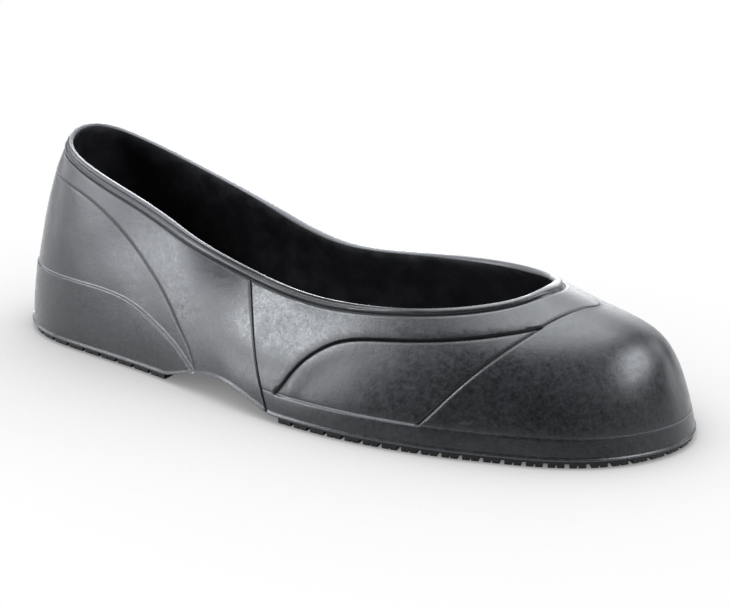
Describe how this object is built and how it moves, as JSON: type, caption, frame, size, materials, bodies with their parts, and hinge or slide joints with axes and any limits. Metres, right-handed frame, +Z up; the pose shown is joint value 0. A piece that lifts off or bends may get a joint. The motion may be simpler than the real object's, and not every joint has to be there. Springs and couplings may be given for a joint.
{
  "type": "rubber overshoe",
  "caption": "Low-cut hollow rubber overshoe for the right foot, open at the collar, with moulded panel seams, a raised arch and slip-resistant lug outsoles under heel and forefoot.",
  "frame": {"origin": "centre of the overshoe's bounding box, on the plane that the lugs stand on", "axes": "+X points to the toe, +Y to the inner side of the foot, +Z up out of the collar"},
  "size_m": [0.3012, 0.109, 0.0854],
  "materials": {
    "charcoal_rubber": "matte charcoal rubber with a pale bloom",
    "bottom_rubber": "matte dark rubber",
    "black_rubber": "black rubber, slightly softer sheen"
  },
  "bodies": {
    "root": {"upper": "charcoal_rubber", "sole": "bottom_rubber", "heel_outsole": "black_rubber", "forefoot_outsole": "black_rubber"}
  },
  "joints": []
}
